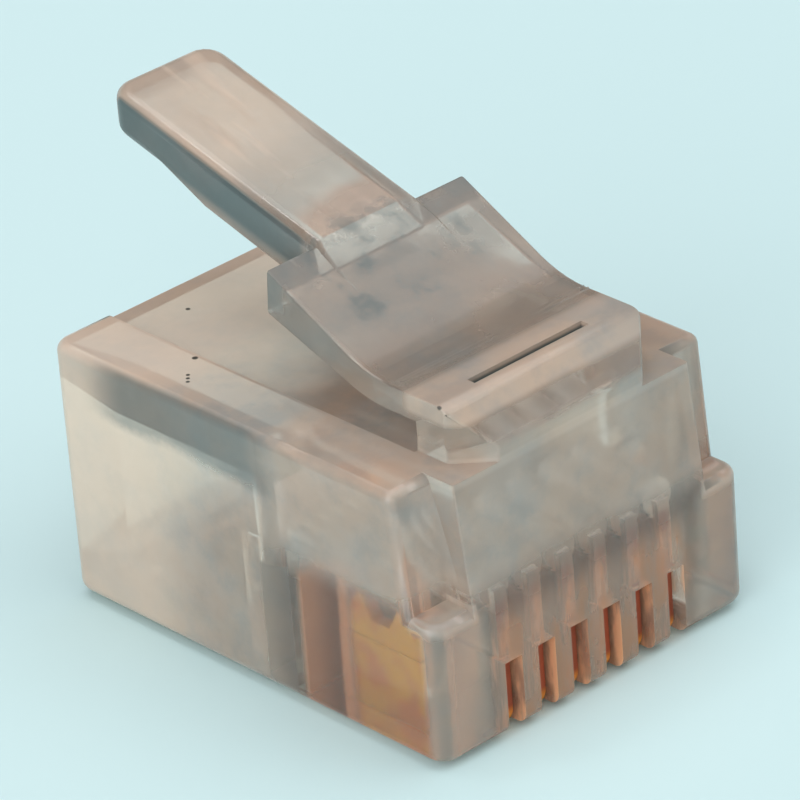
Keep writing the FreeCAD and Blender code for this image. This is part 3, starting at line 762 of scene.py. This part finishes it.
def lamp(name, place, size, power):
    """A square soft lamp that faces the plug."""
    data = bpy.data.lights.new(name, "AREA")
    data.energy = power
    data.size = size
    made = bpy.data.objects.new(name, data)
    made.location = place
    made.rotation_mode = "QUATERNION"
    made.rotation_quaternion = (AIM - Vector(place)).to_track_quat("-Z", "Y")
    bpy.context.scene.collection.objects.link(made)


class PLUG_OT_stage(bpy.types.Operator):
    """Makes the floor, the room, the lamps and the camera"""

    bl_idname = "plug.stage"
    bl_label = "Stage"

    def execute(self, context):
        look = context.scene.plug_stage
        scene = context.scene
        scene.view_settings.view_transform = "Standard"
        self.floor(look)
        self.room(look, scene)
        for name, settings in LAMPS.items():
            lamp(name, *settings)
        self.camera(scene)
        return {"FINISHED"}

    def floor(self, look):
        """The pale floor under the plug."""
        mesh = bpy.data.meshes.new("floor")
        shape = bmesh.new()
        bmesh.ops.create_grid(shape, x_segments=1, y_segments=1, size=look.floor_reach)
        bmesh.ops.translate(shape, vec=(0, 0, CAD_BOX[0].z), verts=shape.verts)
        shape.to_mesh(mesh)
        shape.free()
        material, tree = blank_material("floor")
        shader = tree.node("ShaderNodeBsdfPrincipled", {}, {"Base Color": rgba(look.floor), "Roughness": 0.9,
                                                            "Specular IOR Level": 0.1}, out="BSDF")
        tree.node("ShaderNodeOutputMaterial", {}, {"Surface": shader})
        mesh.materials.append(material)
        floor = placed("floor", mesh)

    def room(self, look, scene):
        """Pale at the horizon, darker above."""
        world = bpy.data.worlds.new("room")
        world.use_nodes = True
        world.node_tree.nodes.clear()
        scene.world = world
        tree = Shade(world.node_tree)
        way = tree.node("ShaderNodeTexCoord", out="Generated")
        rise = tree.node("ShaderNodeSeparateXYZ", {}, {"Vector": way}, out="Z")
        behind = tree.node("ShaderNodeVectorMath", {"operation": "DOT_PRODUCT"}, {0: way, 1: DARK_WAY}, out="Value")
        room = mixed(tree, ramp(tree, behind, *DARK_SPREAD), rgba(look.room), rgba(look.room_dark))
        shade = mixed(tree, ramp(tree, rise, *HORIZON), rgba(look.floor), room)
        sky = tree.node("ShaderNodeBackground", {}, {"Color": shade, "Strength": 1.0})
        tree.node("ShaderNodeOutputWorld", {}, {"Surface": sky})

    def camera(self, scene):
        """The camera where the photograph was taken from."""
        azimuth, elevation, roll, distance, focus, across, down = CAMERA
        azimuth, elevation, roll = (math.radians(angle) for angle in (azimuth, elevation, roll))
        back = Vector((math.sin(azimuth) * math.cos(elevation), -math.cos(azimuth) * math.cos(elevation),
                       math.sin(elevation)))
        right = Vector((math.cos(azimuth), math.sin(azimuth), 0.0))
        up = back.cross(right)
        right, up = (right * math.cos(roll) + up * math.sin(roll), up * math.cos(roll) - right * math.sin(roll))
        aside = (across - IMAGE_SIDE / 2) * distance / focus
        above = (IMAGE_SIDE / 2 - down) * distance / focus
        data = bpy.data.cameras.new("camera")
        data.sensor_width = SENSOR
        data.lens = focus / IMAGE_SIDE * SENSOR
        data.clip_start = NEAREST
        camera = bpy.data.objects.new("camera", data)
        turn = Matrix((right, up, back)).transposed().to_4x4()
        camera.matrix_world = Matrix.Translation(AIM - right * aside - up * above + back * distance) @ turn
        scene.collection.objects.link(camera)
        scene.camera = camera


class PLUG_PT_panel(bpy.types.Panel):
    """Lists the pieces of the plug"""

    bl_idname = "PLUG_PT_panel"
    bl_label = "Modular plug"
    bl_space_type = "VIEW_3D"
    bl_region_type = "UI"
    bl_category = "Plug"

    def draw(self, context):
        for maker in OPERATORS:
            self.layout.operator(maker.bl_idname)


GROUPS = {"plug_moulding": PlugMoulding, "plug_contacts": PlugContacts, "plug_stage": PlugStage}
OPERATORS = (PLUG_OT_stage, PLUG_OT_moulding, PLUG_OT_contacts)


def register():
    for made in (*GROUPS.values(), *OPERATORS, PLUG_PT_panel):
        bpy.utils.register_class(made)
    for name, group in GROUPS.items():
        setattr(bpy.types.Scene, name, PointerProperty(type=group))


def unregister():
    for name in GROUPS:
        delattr(bpy.types.Scene, name)
    for made in (PLUG_PT_panel, *reversed(OPERATORS), *reversed(GROUPS.values())):
        bpy.utils.unregister_class(made)


def main():
    register()
    bpy.ops.plug.stage()
    bpy.ops.plug.moulding()
    bpy.ops.plug.contacts()
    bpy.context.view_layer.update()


if __name__ == "__main__":
    main()
